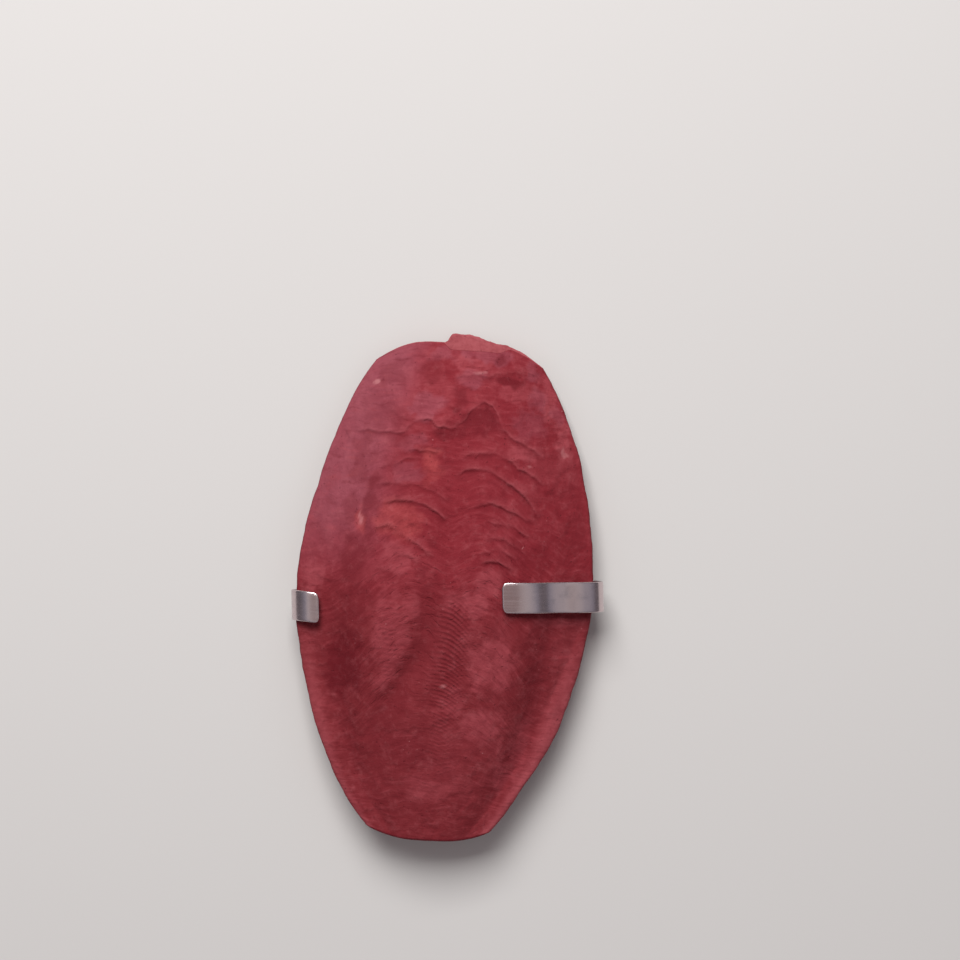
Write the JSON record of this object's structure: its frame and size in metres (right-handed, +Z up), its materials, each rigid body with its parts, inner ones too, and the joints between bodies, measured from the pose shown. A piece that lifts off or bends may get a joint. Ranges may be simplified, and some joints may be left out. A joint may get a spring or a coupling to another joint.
{
  "type": "cuttlebone with clip",
  "caption": "Long oval cuttlebone, dyed red, ridged chalky underside up, in a bent metal strip clip that holds it to cage bars for birds to peck.",
  "frame": {"origin": "on the surface that the part rests on, below the middle of its bounding box", "axes": "+Y along the bone towards its broad front end, +Z up out of its ridged underside"},
  "size_m": [0.0618, 0.1, 0.0172],
  "materials": {
    "bone": "matte",
    "strip": "satin"
  },
  "bodies": {
    "root": {"cuttlebone": "bone", "clip": "strip"}
  },
  "joints": []
}
